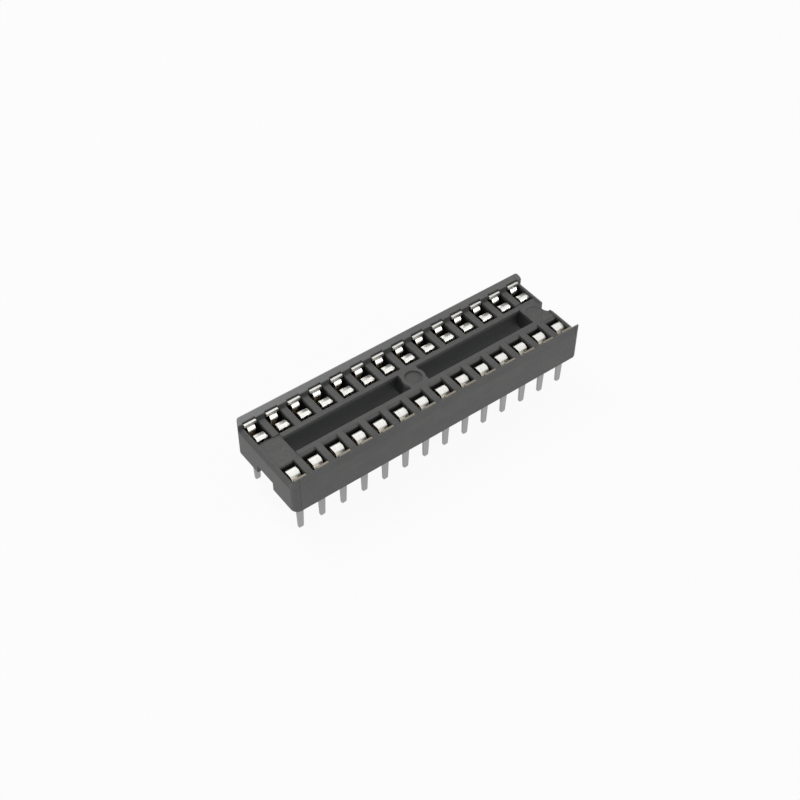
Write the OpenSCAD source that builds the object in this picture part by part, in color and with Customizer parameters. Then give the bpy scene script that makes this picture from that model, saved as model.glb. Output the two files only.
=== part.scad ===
// Dual-row socket for a chip: one moulded housing, two rows of stamped
// contacts. X runs along the rows, Y across them, Z up. The socket stands on
// the tips of its tails at z = 0, with the origin midway between the rows.

/* [Contact grid] */
// Contacts in each row
row_pins = 14; // [4:1:20]
// Distance between neighbours in a row
pitch = 2.54; // [2.45:0.01:3.2]
// Distance between the rows, tail centre to tail centre
row_gap = 7.62; // [7.2:0.02:15.24]

/* [Housing] */
// From the last contact's centre to the end face
end_margin = 1.27; // [1.2:0.01:3]
// From a row's centre to the long outer face
side_margin = 1.27; // [1.15:0.01:2]
// Height of the chip deck over the underside
deck_h = 3.4; // [3:0.05:5]
// Rise of the long walls over the chip deck
wall_rise = 0.95; // [0.7:0.05:1.6]
// Thickness of a long wall at the deck
wall_t = 0.68; // [0.4:0.02:0.76]
// Flat left on the ridge of a long wall
ridge_t = 0.12; // [0.05:0.01:0.3]
// Inward lean of a long wall's outer face at the ridge
wall_lean = 0.08; // [0:0.01:0.1]
// Height of the bevel inside the ridge
bevel_h = 0.5; // [0.2:0.05:0.65]
// Radius of the four upright corners
corner_r = 0.75; // [0.2:0.05:1]
// Bevel on the top edge of each end wall
end_bevel = 0.35; // [0.1:0.05:0.4]
// Thickness of the end walls beside the last contacts
end_wall_t = 0.5; // [0.4:0.05:0.55]

/* [Bridges and windows] */
// Width of the windows between the rails
window_w = 2.25; // [1:0.05:3]
// Length of each end bridge
end_bridge = 2.88; // [2.2:0.02:4]
// Length of the middle bridge
mid_bridge = 2.2; // [1.2:0.05:2.4]
// Thickness of the bridges
bridge_h = 2.4; // [1:0.05:2.8]
// Width of the gap under each end bridge
foot_gap = 2.7; // [2.3:0.05:3.2]
// Radius of the pin 1 notch in the end bridge
notch_r = 0.85; // [0.4:0.05:1]
// Radius of the ejector pads
pad_r = 0.92; // [0.5:0.02:1]
// Depth of the middle ejector pad
pad_depth = 0.2; // [0.05:0.05:0.5]
// Depth of the sunken plate on each end bridge
plate_sink = 0.12; // [0.05:0.01:0.2]
// Rim of the boss round the middle ejector pad
pad_rim = 0.34; // [0.2:0.02:0.4]

/* [Cells] */
// Width of a cell along the row
cell_w = 1.84; // [1.5:0.02:2]
// Reach of a cell from the row's centre to the inner rail
cell_in = 1.93; // [1.7:0.01:2.1]
// Lead-in bevel along the inner edge of a cell
lead_in = 0.26; // [0.1:0.02:0.3]
// Thickness of a cell's floor
floor_t = 0.7; // [0.4:0.05:1]
// Depth of the recess behind a contact's head
recess = 0.14; // [0.05:0.01:0.2]
// Clearance round a tail in the floor, each side
tail_fit = 0.05; // [0.02:0.01:0.1]

/* [Contact] */
// Thickness of the sheet
sheet_t = 0.25; // [0.15:0.01:0.28]
// Width of the head of the outer leaf
head_w = 1.35; // [1.2:0.05:1.4]
// Height of the head of the outer leaf
head_h = 0.3; // [0.15:0.05:0.4]
// Top of the outer leaf over the chip deck
head_rise = 0.36; // [0.2:0.02:0.5]
// Width of the spring of the outer leaf
neck_w = 0.82; // [0.5:0.02:1]
// Width of the inner leaf
leaf_w = 1.22; // [1:0.02:1.3]
// Width of the inner leaf at its nose
nose_w = 1.06; // [0.8:0.02:1.2]
// Offset of the inner leaf along the row
leaf_shift = 0.14; // [0:0.01:0.16]
// Crest of the inner leaf below the chip deck
crest_drop = 0.22; // [0.1:0.02:0.3]
// Slope of the top of the inner leaf, in degrees
top_slope = 18; // [12:1:24]
// Slope of the inner leaf's lead-in, in degrees
lead_angle = 52; // [46:1:56]
// From the row's centre out to the middle of the outer leaf
leaf_out = 0.475; // [0.44:0.005:0.49]
// From the row's centre in to the middle of the inner leaf
leaf_in = 1.42; // [1.37:0.005:1.46]
// From the row's centre out to the nose of the outer leaf
nose_out = 0.1; // [0.08:0.01:0.12]
// Gap between the two noses
throat = 0.33; // [0.28:0.01:0.36]
// Width of the slot in the inner leaf
slot_w = 0.36; // [0.2:0.02:0.4]
// Length of a tail below the underside
tail_len = 4; // [2.5:0.1:6]
// Width of a tail under the housing
tail_w = 0.84; // [0.6:0.02:0.88]
// Width of a tail at its tip
tip_w = 0.56; // [0.4:0.02:0.58]
// Width of a tail inside the floor
shoulder_w = 0.94; // [0.9:0.02:1]

/* [Hidden] */

row_y = row_gap / 2;
body_l = (row_pins - 1) * pitch + 2 * end_margin;
body_w = row_gap + 2 * side_margin;
under_z = tail_len;
floor_z = under_z + floor_t;
deck_z = under_z + deck_h;
top_z = deck_z + wall_rise;
wall_in = body_w / 2 - wall_t;
big = body_l + body_w;
tiny = 0.01;

function contact_name(k) = str("contact_", k < 10 ? "0" : "", k);

// ---- sheet metal: a path of straights and bends, as [point, heading] states
function ahead(p, h, d) = p + d * [cos(h), sin(h)];
function arc_end(p, h, a, r) =
    let (s = sign(a), c = p + r * s * [-sin(h), cos(h)])
    c + r * s * [sin(h + a), -cos(h + a)];
function arc_states(p, h, a, r) =
    let (n = max(2, ceil(abs(a) / 16)))
    [for (i = [1 : n]) [arc_end(p, h, a * i / n, r), h + a * i / n]];
// A step is [length] for a straight or [angle, radius] for a bend.
function walk(steps, p, h, i = 0) =
    i == len(steps) ? [] :
    let (s = steps[i],
         new = len(s) == 1 ? [[ahead(p, h, s[0]), h]] : arc_states(p, h, s[0], s[1]),
         last = new[len(new) - 1])
    concat(new, walk(steps, last[0], last[1], i + 1));
function side_of(states, d) =
    [for (s = states) s[0] + d * [-sin(s[1]), cos(s[1])]];
function flip(v) = [for (i = [len(v) - 1 : -1 : 0]) v[i]];
function ribbon(states, t) =
    concat(side_of(states, t / 2), flip(side_of(states, -t / 2)));

// ---- the contact's path, seen along X: u outward from the row, z up
bend_r = sheet_t / 2 + 0.17;
nose_r = sheet_t / 2 + 0.1;
fold_r = sheet_t / 2 + 0.12;
bulge_r = sheet_t / 2 + 0.1;
bulge_top = 45;
bulge_foot = 18;
link_h = 0.11;
crease_r = sheet_t / 2 + 0.1;
head_z = deck_z + head_rise;
base_z = floor_z + sheet_t / 2;
bulge = leaf_out - sheet_t / 2 - nose_out;
run_top = (bulge - 2 * bulge_r * (1 - cos(bulge_top))) / sin(bulge_top);
run_foot = (bulge - 2 * bulge_r * (1 - cos(bulge_foot))) / sin(bulge_foot);
leg = head_z - base_z - bend_r - head_h - link_h
    - run_top * cos(bulge_top) - run_foot * cos(bulge_foot)
    - 2 * bulge_r * (sin(bulge_top) + sin(bulge_foot));
back = deck_z - crest_drop - sheet_t / 2 - fold_r - base_z - bend_r;
nose_mid = nose_out - throat - sheet_t / 2;
top_run = 0.4;
lead_run = (nose_mid + leaf_in - top_run * cos(top_slope)
    - fold_r * (1 + sin(top_slope)) - nose_r * (1 - sin(lead_angle))
    - crease_r * (sin(lead_angle) - sin(top_slope))) / cos(lead_angle);
tongue = 0.5;
contact_steps = [
    [head_h + link_h],
    [-bulge_top, bulge_r], [run_top],
    [bulge_top + bulge_foot, bulge_r], [run_foot],
    [-bulge_foot, bulge_r], [leg],
    [-90, bend_r], [leaf_out + leaf_in - 2 * bend_r], [-90, bend_r],
    [back],
    [-90 - top_slope, fold_r], [top_run],
    [top_slope - lead_angle, crease_r], [lead_run],
    [lead_angle - 105, nose_r], [tongue]
];

// Extrudes a (u, z) drawing along X, centred, for the row on the +Y side
module along_x(w) rotate([90, 0, 90]) linear_extrude(w, center = true) children();
// Extrudes an (x, z) drawing from u0 to u1
module along_y(u0, u1) translate([0, u1, 0]) rotate([90, 0, 0])
    linear_extrude(u1 - u0) children();

module rounded_plan(l, w, r) {
    square([l, w - 2 * r], center = true);
    square([l - 2 * r, w], center = true);
    for (x = [-1, 1], y = [-1, 1])
        translate([x * (l / 2 - r), y * (w / 2 - r)]) circle(r, $fn = 48);
}

// ---- housing ----
module long_walls() intersection() {
    translate([0, 0, under_z]) linear_extrude(deck_h + wall_rise)
        rounded_plan(body_l, body_w, corner_r);
    for (s = [-1, 1]) scale_y(s) along_x(big) polygon([
        [wall_in, under_z], [body_w / 2, under_z], [body_w / 2, deck_z],
        [body_w / 2 - wall_lean, top_z],
        [body_w / 2 - wall_lean - ridge_t, top_z],
        [wall_in, top_z - bevel_h]
    ]);
}

module scale_y(s) if (s < 0) mirror([0, 1, 0]) children(); else children();

// One cell, cut down to its floor, with its lead-in, recess and tail slot.
// x0 and x1 bound the cell along the row.
module cell_cut(x, x0, x1) {
    translate([x0, row_y - cell_in, floor_z])
        cube([x1 - x0, cell_in + side_margin - wall_t, deck_h]);
    translate([(x0 + x1) / 2, row_y - cell_in, deck_z]) along_x(x1 - x0)
        polygon([[-lead_in, tiny], [tiny, tiny], [tiny, -lead_in], [0, -lead_in], [-lead_in, 0]]);
    translate([x - head_w / 2 - tail_fit, wall_in - tiny, floor_z])
        cube([head_w + 2 * tail_fit, recess + tiny, deck_h + wall_rise]);
    translate([x, row_y, under_z + floor_t / 2])
        cube([shoulder_w + 2 * tail_fit, sheet_t + 2 * tail_fit, floor_t + 2 * tiny], center = true);
}

module cells() for (s = [-1, 1], i = [0 : row_pins - 1]) {
    x = (i - (row_pins - 1) / 2) * pitch;
    scale_y(s) cell_cut(x,
        max(x - cell_w / 2, -body_l / 2 + end_wall_t),
        min(x + cell_w / 2, body_l / 2 - end_wall_t));
}

module window_cut(x0, x1) translate([x0, -window_w / 2, under_z - tiny])
    cube([x1 - x0, window_w, deck_h + 2 * tiny]);

module end_cuts(s) {
    // bevel on the top edge, between the long walls
    translate([0, 0, deck_z]) along_y(-wall_in, wall_in) polygon([
        [s * (body_l / 2 - end_bevel), 0], [s * body_l / 2, -end_bevel],
        [s * (body_l / 2 + 1), -end_bevel], [s * (body_l / 2 + 1), 1],
        [s * (body_l / 2 - end_bevel), 1]
    ]);
    // gap under the end bridge, between the feet
    translate([s * body_l / 2, 0, under_z + (deck_h - bridge_h) / 2])
        cube([2 * end_bridge, foot_gap, deck_h - bridge_h + tiny], center = true);
}

// Sunken plate on an end bridge; the second is the first turned half round
module plate_cut() translate([-body_l / 2 + end_wall_t, cell_in - row_y - tiny, deck_z - plate_sink])
    cube([end_bridge - end_wall_t + tiny, 2 * (row_y - cell_in) - 0.2 + tiny, 1]);

module housing() color([0.23, 0.235, 0.24]) difference() {
    union() {
        difference() {
            union() {
                translate([0, 0, under_z]) linear_extrude(deck_h)
                    rounded_plan(body_l, body_w, corner_r);
                long_walls();
            }
            window_cut(-body_l / 2 + end_bridge, -mid_bridge / 2);
            window_cut(mid_bridge / 2, body_l / 2 - end_bridge);
            translate([0, 0, under_z + (deck_h - bridge_h) / 2 - tiny])
                cube([mid_bridge + 1, window_w, deck_h - bridge_h + tiny], center = true);
        }
        translate([0, 0, deck_z - bridge_h]) cylinder(bridge_h, r = pad_r + pad_rim, $fn = 64);
    }
    for (s = [-1, 1]) end_cuts(s);
    cells();
    translate([body_l / 2, 0, under_z - 1]) cylinder(deck_h + 2, r = notch_r, $fn = 48);
    translate([0, 0, deck_z - pad_depth]) cylinder(pad_depth + 1, r = pad_r, $fn = 64);
    for (a = [0, 180]) rotate(a) plate_cut();
    translate([body_l / 2 - notch_r - pad_r - 0.1, 0, deck_z - plate_sink - 0.05])
        cylinder(1, r = pad_r, $fn = 64);
}

// ---- contact ----
// Front view of the outer leaf: head, spring and foot
module outer_front() {
    translate([-head_w / 2, head_z - head_h]) square([head_w, head_h + 1]);
    translate([-neck_w / 2, floor_z - 1]) square([neck_w, head_z - floor_z + 1]);
    translate([-leaf_w / 2, floor_z - 1]) square([leaf_w, 1 + sheet_t + bend_r]);
}

// The inner leaf's outline: plan of the lead-in, and front view of the back
module inner_outline() intersection() {
    union() {
        translate([0, 0, floor_z + 0.8]) linear_extrude(deck_h) polygon([
            [-leaf_w / 2, -3], [leaf_w / 2, -3], [leaf_w / 2, 0.3 - leaf_in],
            [nose_w / 2, -0.6], [nose_w / 2, split], [-nose_w / 2, split],
            [-nose_w / 2, -0.6], [-leaf_w / 2, 0.3 - leaf_in]
        ]);
        along_y(-3, split) translate([-leaf_w / 2, floor_z - 1]) square([leaf_w, 2]);
    }
    along_y(-3, split) {
        crest = deck_z - crest_drop;
        r = 0.15;
        translate([-leaf_w / 2, floor_z - 1]) square([leaf_w - r, crest - floor_z + 1.1]);
        translate([-leaf_w / 2, floor_z - 1]) square([leaf_w, crest - floor_z + 1 - r]);
        translate([leaf_w / 2 - r, crest - r]) circle(r, $fn = 32);
    }
}

module tail() along_y(-sheet_t / 2, sheet_t / 2) polygon([
    [-tip_w / 2 + 0.08, 0], [tip_w / 2 - 0.08, 0], [tip_w / 2, 0.1],
    [tail_w / 2, under_z - 0.02], [shoulder_w / 2, under_z + 0.12],
    [shoulder_w / 2, floor_z + sheet_t / 2], [-shoulder_w / 2, floor_z + sheet_t / 2],
    [-shoulder_w / 2, under_z + 0.12], [-tail_w / 2, under_z - 0.02],
    [-tip_w / 2, 0.1]
]);

split = nose_out - throat / 2;
start = [[[leaf_out, head_z], -90]];

module leaf_sheet(w) along_x(w) polygon(ribbon(
    concat(start, walk(contact_steps, start[0][0], start[0][1])), sheet_t));

// Slot up the back of the inner leaf, round at the top, into the fold
module slot_cut() along_y(-leaf_in - sheet_t, 0.22 - leaf_in) {
    top = deck_z - crest_drop - 0.15 - slot_w / 2;
    translate([-slot_w / 2, floor_z + 1]) square([slot_w, top - floor_z - 1]);
    translate([0, top]) circle(slot_w / 2, $fn = 32);
}

module stamped_contact() {
    intersection() {
        leaf_sheet(head_w);
        along_y(split, 2) outer_front();
    }
    translate([leaf_shift, 0, 0]) difference() {
        intersection() {
            leaf_sheet(leaf_w);
            inner_outline();
        }
        slot_cut();
    }
    // foot that joins the leaves
    intersection() {
        leaf_sheet(head_w);
        along_y(split - 0.2, split + 0.2)
            translate([-leaf_w / 2, floor_z - 1]) square([leaf_w + leaf_shift, 1.2]);
    }
    tail();
}

// Contacts are numbered from the notch down the +Y row and back up the -Y row
module contact(k) {
    far = k <= row_pins;
    i = far ? k - 1 : 2 * row_pins - k;
    color([0.86, 0.85, 0.82])
        translate([((row_pins - 1) / 2 - i) * pitch, 0, 0])
            scale_y(far ? 1 : -1) translate([0, row_y, 0]) stamped_contact();
}

housing();
for (k = [1 : 2 * row_pins])
    contact(k);
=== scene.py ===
import bpy
from mathutils import Matrix, Vector


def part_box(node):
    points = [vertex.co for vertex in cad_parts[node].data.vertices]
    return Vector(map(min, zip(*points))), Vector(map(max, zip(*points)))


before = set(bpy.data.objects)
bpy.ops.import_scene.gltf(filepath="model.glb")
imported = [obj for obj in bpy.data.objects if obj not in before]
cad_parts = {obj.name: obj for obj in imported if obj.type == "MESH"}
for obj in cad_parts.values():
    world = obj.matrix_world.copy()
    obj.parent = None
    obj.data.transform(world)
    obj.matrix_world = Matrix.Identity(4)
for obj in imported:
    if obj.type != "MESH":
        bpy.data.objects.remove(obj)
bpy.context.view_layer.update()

bl_info = {
    "name": "Chip Socket Dresser",
    "version": (1, 0, 0),
    "blender": (4, 5, 0),
    "location": "View3D > Sidebar > Socket",
    "description": "Finishes the moulding and contacts of a dual-row chip socket and sets its stage",
    "category": "Object",
}

MM = 0.001

# the moulding's measures in metres, with heights above its underside
DECK = 3.4 * MM         # the level that the chip sits on
PLATE_LENGTH = 2.9 * MM  # an end plate, from the housing's end inwards
PLATE_HALF = 1.9 * MM   # half an end plate's width
PLATE_FOOT = 3.2 * MM   # below every end plate's face
CORNER = 0.72 * MM      # from the housing's end to the parting line
SEAM_BAND = 0.5 * MM    # how far in from a long face the parting line shows
SKIN = 0.3 * MM         # depth of the outer walls that keeps the outer colour
RIDGE_SHEEN_FOOT = 0.42 * MM  # from the deck to where the painted sheen on a ridge starts
RIDGE_SHEEN_FULL = 0.55 * MM  # from the deck to where the painted sheen on a ridge is full

SEAM_COLOUR = (0.02, 0.021, 0.024)
# painted sheen on the +Y wall's ridge
RIDGE_SHEEN_COLOUR = (0.36, 0.365, 0.365)

# the stage, in metres
FLOOR_WIDTH = 3.0
LAMP_AIM = (0, 0, 0.006)
LAMPS = (
    # name, place, diameter, power as a multiple of the key's
    ("lamp_above", (-0.05, 0.14, 0.30), 0.16, 2.4),
    ("lamp_front", (0.20, -0.30, 0.17), 0.12, 1.9),
    ("lamp_left", (-0.34, -0.08, 0.08), 0.12, 1.35),
)
CAMERA_PLACE = (-0.058462, -0.073935, 0.104337)
CAMERA_RIGHT = (0.79791, -0.60273, 0.00771)
CAMERA_BACK = (-0.41721, -0.54299, 0.72877)
SENSOR_WIDTH = 36.0  # millimetres


# ---------------------------------------------------------------- shader maths
class Wire:
    """A shader output that takes part in Python arithmetic."""

    def __init__(self, tree, out):
        self.tree, self.out = tree, out

    def _math(self, op, *values, clamp=False):
        n = self.tree.nodes.new("ShaderNodeMath")
        n.operation, n.use_clamp = op, clamp
        for socket, v in zip(n.inputs, values):
            if isinstance(v, Wire):
                self.tree.links.new(v.out, socket)
            else:
                socket.default_value = v
        return Wire(self.tree, n.outputs[0])

    def __add__(self, o): return self._math("ADD", self, o)
    def __radd__(self, o): return self._math("ADD", o, self)
    def __sub__(self, o): return self._math("SUBTRACT", self, o)
    def __rsub__(self, o): return self._math("SUBTRACT", o, self)
    def __mul__(self, o): return self._math("MULTIPLY", self, o)
    def __abs__(self): return self._math("ABSOLUTE", self)
    def __gt__(self, o): return self._math("GREATER_THAN", self, o)
    def __lt__(self, o): return self._math("LESS_THAN", self, o)
    def clamp(self): return self._math("ADD", self, 0.0, clamp=True)
    def max(self, o): return self._math("MAXIMUM", self, o)

    def ramp(self, low, high):
        """0 at low, 1 at high, straight between and clamped outside."""
        n = self.tree.nodes.new("ShaderNodeMapRange")
        n.clamp = True
        n.inputs["From Min"].default_value = low
        n.inputs["From Max"].default_value = high
        self.tree.links.new(self.out, n.inputs["Value"])
        return Wire(self.tree, n.outputs["Result"])


class Bench:
    """Builds one material's nodes."""

    def __init__(self, name):
        self.mat = bpy.data.materials.new(name)
        self.mat.use_nodes = True
        self.tree = self.mat.node_tree
        self.tree.nodes.clear()
        self.end = self.tree.nodes.new("ShaderNodeOutputMaterial")

    def add(self, kind, settings=None, **inputs):
        """A node; an input's underscores stand for the spaces in its name."""
        n = self.tree.nodes.new(kind)
        for key, v in (settings or {}).items():
            setattr(n, key, v)
        for key, v in inputs.items():
            socket = n.inputs[key.replace("_", " ")]
            if isinstance(v, Wire):
                self.tree.links.new(v.out, socket)
            else:
                socket.default_value = v
        return n

    def wire(self, node, name=0):
        return Wire(self.tree, node.outputs[name])

    def place(self):
        """Object coordinates, and their x, y and z in metres."""
        at = self.wire(self.add("ShaderNodeTexCoord"), "Object")
        split = self.add("ShaderNodeSeparateXYZ", Vector=at)
        return at, [self.wire(split, i) for i in range(3)]

    def noise(self, at, size, detail=2.0, rough=0.5, stretch=(1, 1, 1)):
        """Noise whose lumps are about size metres across, stretched along X, Y or Z."""
        m = self.add("ShaderNodeMapping", Vector=at, Scale=[1.0 / (size * s) for s in stretch])
        n = self.add("ShaderNodeTexNoise", Vector=self.wire(m), Scale=1.0,
                     Detail=detail, Roughness=rough)
        return self.wire(n, 0)

    def mix(self, amount, a, b):
        """Colour a where amount is 0, b where it is 1."""
        n = self.tree.nodes.new("ShaderNodeMix")
        n.data_type = "RGBA"
        for socket, v in ((n.inputs[0], amount), (n.inputs[6], a), (n.inputs[7], b)):
            if isinstance(v, Wire):
                self.tree.links.new(v.out, socket)
            else:
                socket.default_value = v if isinstance(v, float) else (*v[:3], 1.0)
        return Wire(self.tree, n.outputs[2])

    def bump(self, height, depth, normal=None):
        """A normal raised by height times depth metres, over another normal if one is given."""
        n = self.add("ShaderNodeBump", Height=height, Distance=depth, Strength=1.0)
        if normal is not None:
            self.tree.links.new(normal.out, n.inputs["Normal"])
        return self.wire(n, "Normal")

    def blend(self, amount, a, b):
        """Shader node a where amount is 0, b where it is 1."""
        n = self.add("ShaderNodeMixShader", Fac=amount)
        self.tree.links.new(a.outputs[0], n.inputs[1])
        self.tree.links.new(b.outputs[0], n.inputs[2])
        return n

    def finish(self, shader):
        """Send the shader to the surface and hand back the material."""
        self.tree.links.new(shader.out, self.end.inputs["Surface"])
        return self.mat


# ---------------------------------------------------------------- sizes and colours
class SocketFinish(bpy.types.PropertyGroup):
    """Colours and textures of the moulding and of the contacts."""

    moulding: bpy.props.FloatVectorProperty(
        name="Moulding", description="Colour of the moulded housing", subtype="COLOR",
        size=3, min=0, max=1, default=(0.060, 0.0625, 0.0605))
    moulding_pale: bpy.props.FloatVectorProperty(
        name="Moulding, pale", description="Colour of the moulding where glass fibre shows",
        subtype="COLOR", size=3, min=0, max=1, default=(0.102, 0.104, 0.099))
    # painted shade on the inner faces of cells and windows
    painted_shade_inside: bpy.props.FloatVectorProperty(
        name="Moulding, inside", description="Colour of the inner faces of cells and windows",
        subtype="COLOR", size=3, min=0, max=1, default=(0.006, 0.0075, 0.0072))
    grain: bpy.props.FloatProperty(
        name="Grain", description="Size of the moulding's grain",
        subtype="DISTANCE", unit="LENGTH", min=0.00001, default=0.00011)
    edge: bpy.props.FloatProperty(
        name="Edge", description="Radius of the moulding's softened edges",
        subtype="DISTANCE", unit="LENGTH", min=0.0, default=0.00007)
    tin: bpy.props.FloatVectorProperty(
        name="Tin", description="Colour of the bright tin plate", subtype="COLOR",
        size=3, min=0, max=1, default=(0.86, 0.855, 0.83))
    shade: bpy.props.FloatVectorProperty(
        name="Streaks", description="Colour of the drawn streaks in the tin plate", subtype="COLOR",
        size=3, min=0, max=1, default=(0.58, 0.56, 0.50))
    # a darker, warmer colour towards the leaves' roots, low in the cells
    root_tone: bpy.props.FloatVectorProperty(
        name="Bronze", description="Tint of the alloy under the plate", subtype="COLOR",
        size=3, min=0, max=1, default=(0.52, 0.44, 0.31))
    # partly the bare alloy of sheared edges, partly painted shade on the -Y row's heads
    edge_and_shade_tint: bpy.props.FloatVectorProperty(
        name="Cut edge", description="Colour of the alloy on the sheared edges of the heads",
        subtype="COLOR", size=3, min=0, max=1, default=(0.15, 0.12, 0.075))
    tail: bpy.props.FloatVectorProperty(
        name="Tails", description="Colour of the dull tin on the tails", subtype="COLOR",
        size=3, min=0, max=1, default=(0.36, 0.36, 0.365))


class SocketStage(bpy.types.PropertyGroup):
    """Camera, floor and lamps."""

    lens: bpy.props.FloatProperty(
        name="Lens", description="Focal length of the camera, on a 36 mm sensor, in millimetres",
        min=10, default=61.18)
    floor: bpy.props.FloatVectorProperty(
        name="Floor", description="Colour of the floor", subtype="COLOR",
        size=3, min=0, max=1, default=(0.9, 0.9, 0.9))
    sky: bpy.props.FloatProperty(
        name="Sky", description="Strength of the soft light from all round", min=0, default=0.32)
    key: bpy.props.FloatProperty(
        name="Key", description="Power that the lamps' own powers are multiples of, in watts",
        unit="POWER", min=0, default=0.15)


# ---------------------------------------------------------------- materials
def moulded_plastic(s):
    """Charcoal glass-filled plastic: fine grain, flow mottle, softened edges and a parting line,
    with painted shade inside and a painted sheen on one ridge.
    """
    b = Bench("charcoal_moulding")
    at, (x, y, z) = b.place()
    low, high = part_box("housing")
    deck = low.z + DECK
    grain = b.noise(at, s.grain, 3.0, 0.6)
    mottle = b.noise(at, 0.9 * MM, 3.0, 0.6, (2.2, 1.0, 1.0))
    flow = b.noise(at, 3.5 * MM, 2.0, 0.5, (3.0, 1.0, 0.6))
    speck = b.noise(at, 0.28 * MM, 4.0, 0.7)

    # paler where fibre shows, with stronger specks on the end plates
    plate = ((abs(x) > high.x - PLATE_LENGTH) * (abs(y) < PLATE_HALF)
             * (z > low.z + PLATE_FOOT))
    pale = (mottle.ramp(0.35, 0.7) * 0.5 + flow.ramp(0.3, 0.7) * 0.3 + grain * 0.25
            + (speck.ramp(0.35, 0.65) - 0.5) * (0.22 + plate * 0.5)).clamp()
    colour = b.mix(pale, s.moulding, s.moulding_pale)

    # the parting line where each rounded corner runs into the long faces
    from_seam = abs(abs(x) - (high.x - CORNER))
    seam = (1.0 - from_seam.ramp(0.015 * MM, 0.06 * MM)) * (abs(y) > high.y - SEAM_BAND)
    colour = b.mix(seam * 0.75, colour, SEAM_COLOUR)

    # painted shade: the inner faces below the deck and inside the four outer walls, painted near
    # black further down, where shade falls
    depth = (deck - z).ramp(0.14 * MM, 0.55 * MM)
    inside = (abs(y) < high.y - SKIN) * (abs(x) < high.x - SKIN)
    inner = depth * inside * (z > low.z + 0.05 * MM)
    colour = b.mix(inner * 0.97, colour, s.painted_shade_inside)

    # painted sheen: the ridge of the +Y wall painted pale as a highlight, fading towards +X
    sheen_fade = 1.0 - x.ramp(-high.x, 0.3 * high.x) * 0.75
    ridge_sheen = z.ramp(deck + RIDGE_SHEEN_FOOT, deck + RIDGE_SHEEN_FULL) * (y > 0.0) * sheen_fade
    colour = b.mix(ridge_sheen * 0.75, colour, RIDGE_SHEEN_COLOUR)

    rough = 0.50 + mottle * 0.12 - grain * 0.06 + inner * 0.1
    soft = b.wire(b.add("ShaderNodeBevel", {"samples": 6}, Radius=s.edge), "Normal")
    normal = b.bump(grain - seam * 3.0, 0.006 * MM, soft)
    shader = b.add("ShaderNodeBsdfPrincipled", Base_Color=colour, Roughness=rough,
                   Normal=normal, IOR=1.5)
    return b.finish(b.wire(shader))


def tin_plate(s):
    """Bright tin on the leaves, warmer towards their roots, dull tin on the tails and painted shade
    on the -Y row's heads.
    """
    b = Bench("tin_plate")
    at, (x, y, z) = b.place()
    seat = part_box("housing")[0].z
    deck = seat + DECK
    draw = b.noise(at, 0.05 * MM, 2.0, 0.6, (0.6, 3.0, 3.0))
    streak = b.noise(at, 0.22 * MM, 3.0, 0.65, (0.45, 6.0, 6.0)).ramp(0.4, 0.72)
    stain = b.noise(at, 0.5 * MM, 3.0, 0.6)
    # darker and warmer towards the leaves' roots, low in the cells
    toward_root = 1.0 - (z + (stain - 0.5) * 0.5 * MM).ramp(deck - 1.3 * MM, deck - 0.35 * MM)
    tail = 1.0 - z.ramp(seat - 0.1 * MM, seat + 0.3 * MM)
    colour = b.mix(streak * 0.55, s.tin, s.shade)
    colour = b.mix(toward_root, colour, s.root_tone)
    colour = b.mix(tail, colour, s.tail)

    # the -Y row's heads above the deck, darkened brown: partly the bare sheared edges, partly
    # painted shade, so the +Y row's heads stay bright
    cut_edge_and_shade = (z > deck + 0.1 * MM) * (y < 0.0)
    colour = b.mix(cut_edge_and_shade * 0.85, colour, s.edge_and_shade_tint)
    rough = (0.28 + draw * 0.12 + tail * 0.16 + cut_edge_and_shade * 0.2 + stain * 0.06).clamp()
    normal = b.bump(draw + stain * 0.5, 0.002 * MM)
    shader = b.add("ShaderNodeBsdfPrincipled", Base_Color=colour, Roughness=rough,
                   Normal=normal, Metallic=1.0)
    return b.finish(b.wire(shader))


def straight_to_eye(tree):
    """1 for rays from the camera, through glass or off a mirror, 0 for the light of the scene."""
    rays = tree.nodes.new("ShaderNodeLightPath")
    camera, glossy, through = (Wire(tree, rays.outputs[f"Is {kind} Ray"])
                               for kind in ("Camera", "Glossy", "Transmission"))
    return camera.max(glossy).max(through)


def pale_floor(colour):
    """Matt white, lifted to paper white for the camera and in mirrors, clear from underneath."""
    b = Bench("pale_floor")
    at, _ = b.place()
    specks = b.noise(at, 4 * MM, 2.0)
    paper = b.mix(specks, colour, [c * 0.985 for c in colour])
    matt = b.add("ShaderNodeBsdfDiffuse", Color=paper)
    glow = b.add("ShaderNodeEmission", Color=(1, 1, 1, 1), Strength=1.0)
    lifted = b.blend(straight_to_eye(b.tree) * 0.93, matt, glow)
    clear = b.add("ShaderNodeBsdfTransparent")
    underside = b.wire(b.add("ShaderNodeNewGeometry"), "Backfacing")
    sheet = b.blend(underside, lifted, clear)
    return b.finish(b.wire(sheet))


def wear(obj, material):
    """Give the object this material and no other."""
    obj.data.materials.clear()
    obj.data.materials.append(material)


# ---------------------------------------------------------------- operators
class SOCKET_OT_housing(bpy.types.Operator):
    """Give the moulded housing its charcoal plastic"""

    bl_idname = "socket.housing"
    bl_label = "Dress Housing"

    def execute(self, context):
        wear(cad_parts["housing"], moulded_plastic(context.scene.socket_finish))
        return {"FINISHED"}


class SOCKET_OT_contacts(bpy.types.Operator):
    """Give every stamped contact its tin plate"""

    bl_idname = "socket.contacts"
    bl_label = "Dress Contacts"

    def execute(self, context):
        tin = tin_plate(context.scene.socket_finish)
        for name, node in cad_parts.items():
            if name.startswith("contact_"):
                wear(node, tin)
        return {"FINISHED"}


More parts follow.
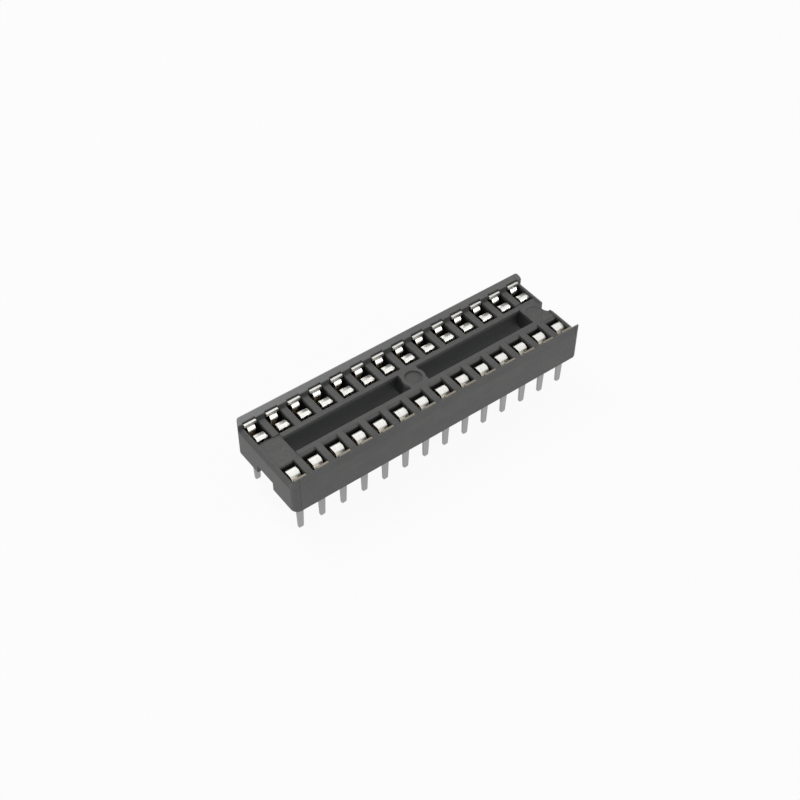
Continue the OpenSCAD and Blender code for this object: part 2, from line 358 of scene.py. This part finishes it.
class SOCKET_OT_stage(bpy.types.Operator):
    """Set the floor, the lamps and the camera"""

    bl_idname = "socket.stage"
    bl_label = "Set Stage"

    def execute(self, context):
        scene, s = context.scene, context.scene.socket_stage
        self.lay_floor(context, s)
        self.light_world(scene, s)
        for lamp in LAMPS:
            self.hang_lamp(scene, s, *lamp)
        self.place_camera(scene, s)
        scene.view_settings.view_transform = "Standard"
        return {"FINISHED"}

    def lay_floor(self, context, s):
        bpy.ops.object.select_all(action="DESELECT")
        bpy.ops.mesh.primitive_plane_add(size=FLOOR_WIDTH, location=(0, 0, 0))
        floor = context.object
        floor.name = "floor"
        floor.data.materials.append(pale_floor(s.floor))

    def light_world(self, scene, s):
        """Even light of the sky's strength, seen as plain white."""
        world = bpy.data.worlds.new("soft_sky")
        scene.world = world
        world.use_nodes = True
        tree = world.node_tree
        tree.nodes.clear()
        out = tree.nodes.new("ShaderNodeOutputWorld")
        both = tree.nodes.new("ShaderNodeMixShader")
        tree.links.new(straight_to_eye(tree).out, both.inputs[0])
        for socket, strength in ((both.inputs[1], s.sky), (both.inputs[2], 1.0)):
            white = tree.nodes.new("ShaderNodeBackground")
            white.inputs["Color"].default_value = (1, 1, 1, 1)
            white.inputs["Strength"].default_value = strength
            tree.links.new(white.outputs[0], socket)
        tree.links.new(both.outputs[0], out.inputs["Surface"])

    def hang_lamp(self, scene, s, name, at, size, share):
        light = bpy.data.lights.new(name, "AREA")
        light.shape, light.size, light.energy = "DISK", size, s.key * share
        obj = bpy.data.objects.new(name, light)
        scene.collection.objects.link(obj)
        obj.location = at
        way = Vector(LAMP_AIM) - Vector(at)
        obj.rotation_euler = way.to_track_quat("-Z", "Y").to_euler()

    def place_camera(self, scene, s):
        camera = bpy.data.cameras.new("camera")
        camera.lens, camera.sensor_width = s.lens, SENSOR_WIDTH
        camera.clip_start, camera.clip_end = 0.005, 10.0
        obj = bpy.data.objects.new("camera", camera)
        scene.collection.objects.link(obj)
        right = Vector(CAMERA_RIGHT).normalized()
        back = Vector(CAMERA_BACK).normalized()
        up = back.cross(right).normalized()
        turn = Matrix((right, up, back)).transposed().to_4x4()
        obj.matrix_world = Matrix.Translation(CAMERA_PLACE) @ turn
        scene.camera = obj


class SOCKET_PT_panel(bpy.types.Panel):
    """Steps that dress the socket"""

    bl_idname = "SOCKET_PT_panel"
    bl_label = "Chip Socket"
    bl_space_type = "VIEW_3D"
    bl_region_type = "UI"
    bl_category = "Socket"

    def draw(self, context):
        layout = self.layout
        for group in (context.scene.socket_finish, context.scene.socket_stage):
            for key in group.__annotations__:
                layout.prop(group, key)
        for step in STEPS:
            layout.operator(step.bl_idname)


STEPS = (SOCKET_OT_housing, SOCKET_OT_contacts, SOCKET_OT_stage)
CLASSES = (SocketFinish, SocketStage, *STEPS, SOCKET_PT_panel)


def register():
    for c in CLASSES:
        bpy.utils.register_class(c)
    bpy.types.Scene.socket_finish = bpy.props.PointerProperty(type=SocketFinish)
    bpy.types.Scene.socket_stage = bpy.props.PointerProperty(type=SocketStage)


def unregister():
    del bpy.types.Scene.socket_stage
    del bpy.types.Scene.socket_finish
    for c in reversed(CLASSES):
        bpy.utils.unregister_class(c)


def main():
    register()
    bpy.ops.socket.housing()
    bpy.ops.socket.contacts()
    bpy.ops.socket.stage()


if __name__ == "__main__":
    main()
